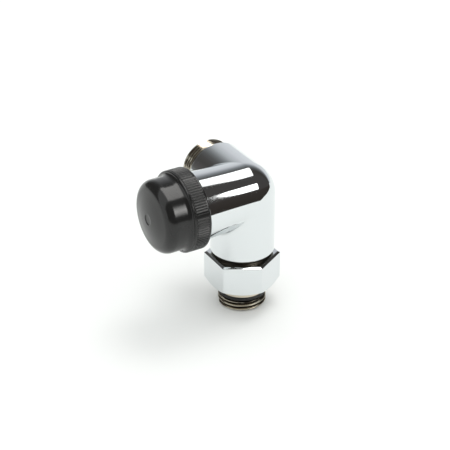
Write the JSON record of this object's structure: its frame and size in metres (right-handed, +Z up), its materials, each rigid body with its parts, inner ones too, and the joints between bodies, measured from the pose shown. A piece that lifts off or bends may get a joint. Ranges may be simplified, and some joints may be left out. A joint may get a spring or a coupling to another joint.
{
  "type": "angle thermostatic radiator valve",
  "caption": "Chromed three-axis radiator valve with a black screw-on hand cap over its spring-loaded insert, a threaded pipe port and a union tail with seal ring.",
  "frame": {"origin": "centre of the tailpiece's lower end, on which the valve stands", "axes": "+Z up the tail and the vertical leg; the head and its cap point along -Y; the pipe port points along -X; the three axes cross at z = 53.2 mm"},
  "size_m": [0.0485, 0.0598, 0.0707],
  "materials": {
    "chromed_brass": "polished",
    "plain_brass": "machined",
    "nickelled_brass": "satin",
    "stainless_steel": "fine",
    "black_plastic": "satin",
    "black_rubber": "matt"
  },
  "bodies": {
    "valve": {"valve_body": "chromed_brass", "insert_bonnet": "plain_brass", "insert_seal_ring": "black_rubber", "spindle_guide": "plain_brass", "guide_snap_ring": "stainless_steel", "gland_nut": "plain_brass", "gland_seal_ring": "black_rubber", "pin_seal_ring": "black_rubber", "return_spring": "stainless_steel"},
    "pin_and_disc": {"pressure_pin": "stainless_steel", "spindle": "plain_brass", "spring_cup": "plain_brass", "disc_holder": "plain_brass", "valve_disc": "black_rubber", "disc_washer": "plain_brass"},
    "cap_plate": {"pressure_plate": "plain_brass"},
    "hand_cap": {"protective_cap": "black_plastic", "plate_retaining_clip": "stainless_steel"},
    "tail": {"tailpiece": "nickelled_brass", "tail_seal_ring": "black_rubber", "union_seal_ring": "black_rubber"},
    "nut": {"union_nut": "chromed_brass"}
  },
  "joints": [
    {"name": "pin_travel", "type": "slide", "parent": "valve", "child": "pin_and_disc", "axis": [0, -1, 0], "range_m": [0, 0.003], "deforming": ["return_spring"]},
    {"name": "cap_pull_off", "type": "slide", "parent": "pin_and_disc", "child": "cap_plate", "axis": [0, -1, 0], "range_m": [0, 0.02]},
    {"name": "cap_turn", "type": "hinge", "parent": "cap_plate", "child": "hand_cap", "pos_m": [0, -0.03, 0.0532], "axis": [0, -1, 0], "range_deg": [0, 720.1]},
    {"name": "union_travel", "type": "slide", "parent": "valve", "child": "tail", "axis": [0, 0, -1], "range_m": [0, 0.0084]},
    {"name": "nut_turn", "type": "hinge", "parent": "tail", "child": "nut", "pos_m": [0, 0, 0.018], "axis": [0, 0, -1], "range_deg": [0, 2016.1]}
  ],
  "couplings": [
    {"joint": "cap_turn", "follows": "pin_travel", "rad_per_m": 4188.8},
    {"joint": "nut_turn", "follows": "union_travel", "rad_per_m": 4188.8}
  ]
}
